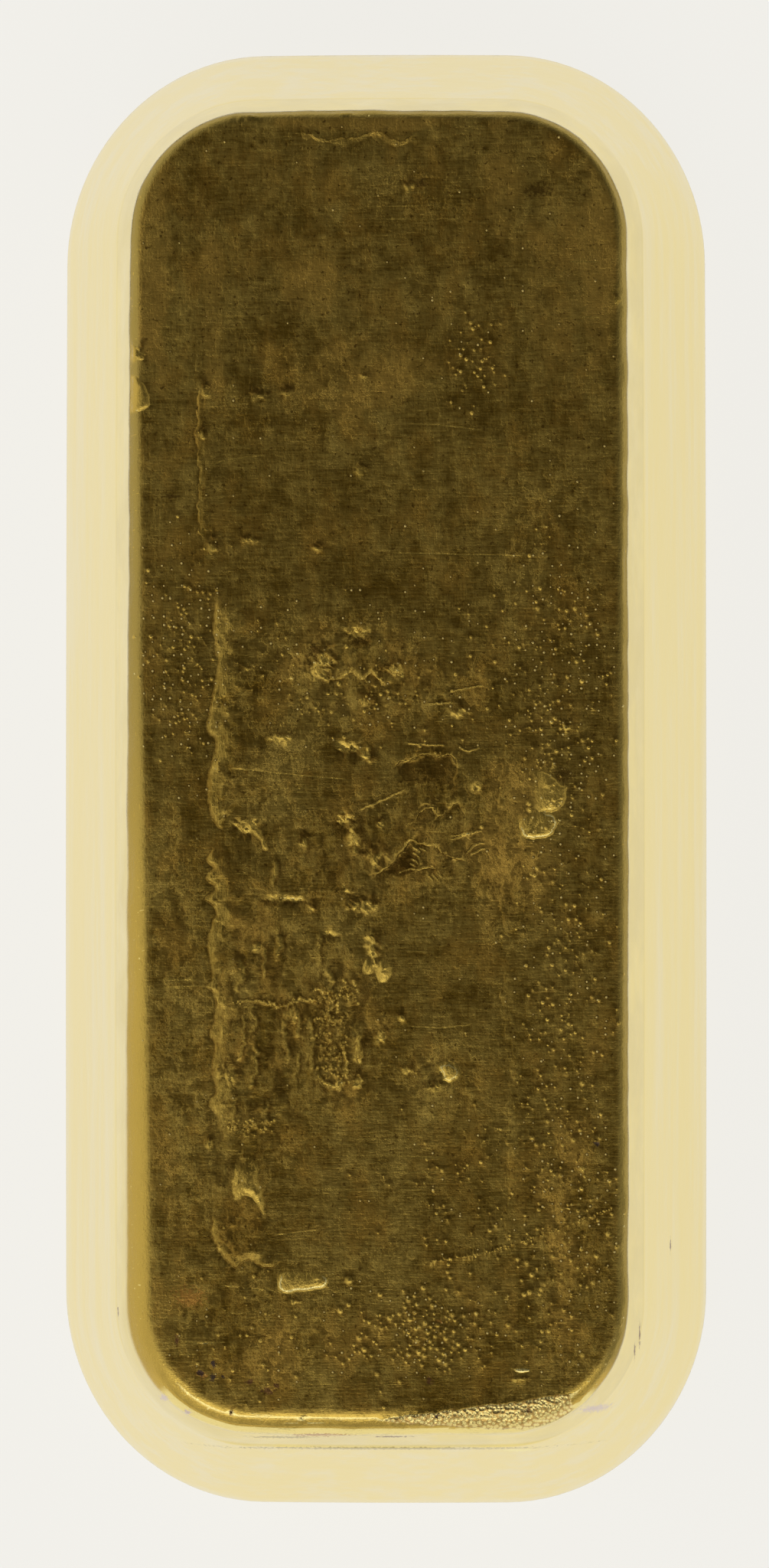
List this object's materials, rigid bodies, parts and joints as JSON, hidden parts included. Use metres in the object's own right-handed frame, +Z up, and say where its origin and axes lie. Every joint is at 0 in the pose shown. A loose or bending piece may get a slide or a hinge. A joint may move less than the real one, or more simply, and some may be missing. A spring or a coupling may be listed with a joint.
{
  "type": "cast gold ingot",
  "caption": "Thick cast gold bar with drafted walls, large rounded corners and a pitted mould-bottom face, lying on its wide pour face.",
  "frame": {"origin": "middle of the bar's plan box, on the surface that its wide pour face lies on", "axes": "+X across the bar, +Y along its length, +Z up, towards the narrow mould-bottom face"},
  "size_m": [0.039, 0.088, 0.019],
  "materials": {
    "cast_gold": "as cast: smooth bright drafted walls, finely pitted and brushed narrow face"
  },
  "bodies": {
    "root": {"ingot": "cast_gold"}
  },
  "joints": []
}
